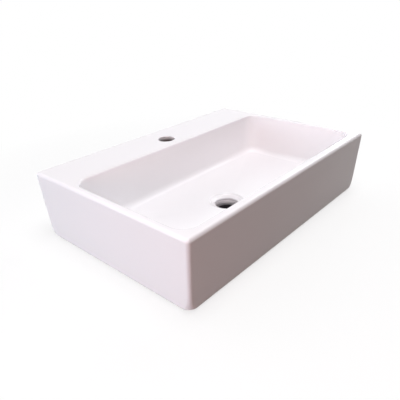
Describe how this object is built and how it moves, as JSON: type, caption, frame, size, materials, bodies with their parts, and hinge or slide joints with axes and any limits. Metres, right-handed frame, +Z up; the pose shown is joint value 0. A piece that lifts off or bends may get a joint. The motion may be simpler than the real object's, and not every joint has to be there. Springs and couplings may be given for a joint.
{
  "type": "bathroom sink",
  "caption": "Rectangular countertop washbasin of white glazed china, with a tap ledge at the back, a round tap hole and a free-flow waste in the bowl's floor.",
  "frame": {"origin": "middle of the foot's rear band, on the surface that the basin stands on", "axes": "+X to the right seen from the front, +Y from the front towards the wall, +Z up; the drain's axis stands 200.25 mm in front of the origin and the tap hole's 36.25 mm in front of it"},
  "size_m": [0.5498, 0.3794, 0.2465],
  "materials": {
    "china": "glossy white glaze; the foot's band is ground and unglazed",
    "white_ring": "glossy white glaze",
    "chrome": "bright chromed brass",
    "nut_chrome": "satin chromed brass",
    "rubber": "matt black rubber",
    "washer_plastic": "plain off-white plastic"
  },
  "bodies": {
    "root": {"basin": "china", "drain_ring": "white_ring", "waste_body": "chrome", "flange_seal": "rubber", "lower_seal": "rubber", "slip_washer": "washer_plastic", "back_nut": "nut_chrome", "tail_seal": "rubber", "tail_pipe": "chrome", "union_nut": "nut_chrome"}
  },
  "joints": []
}
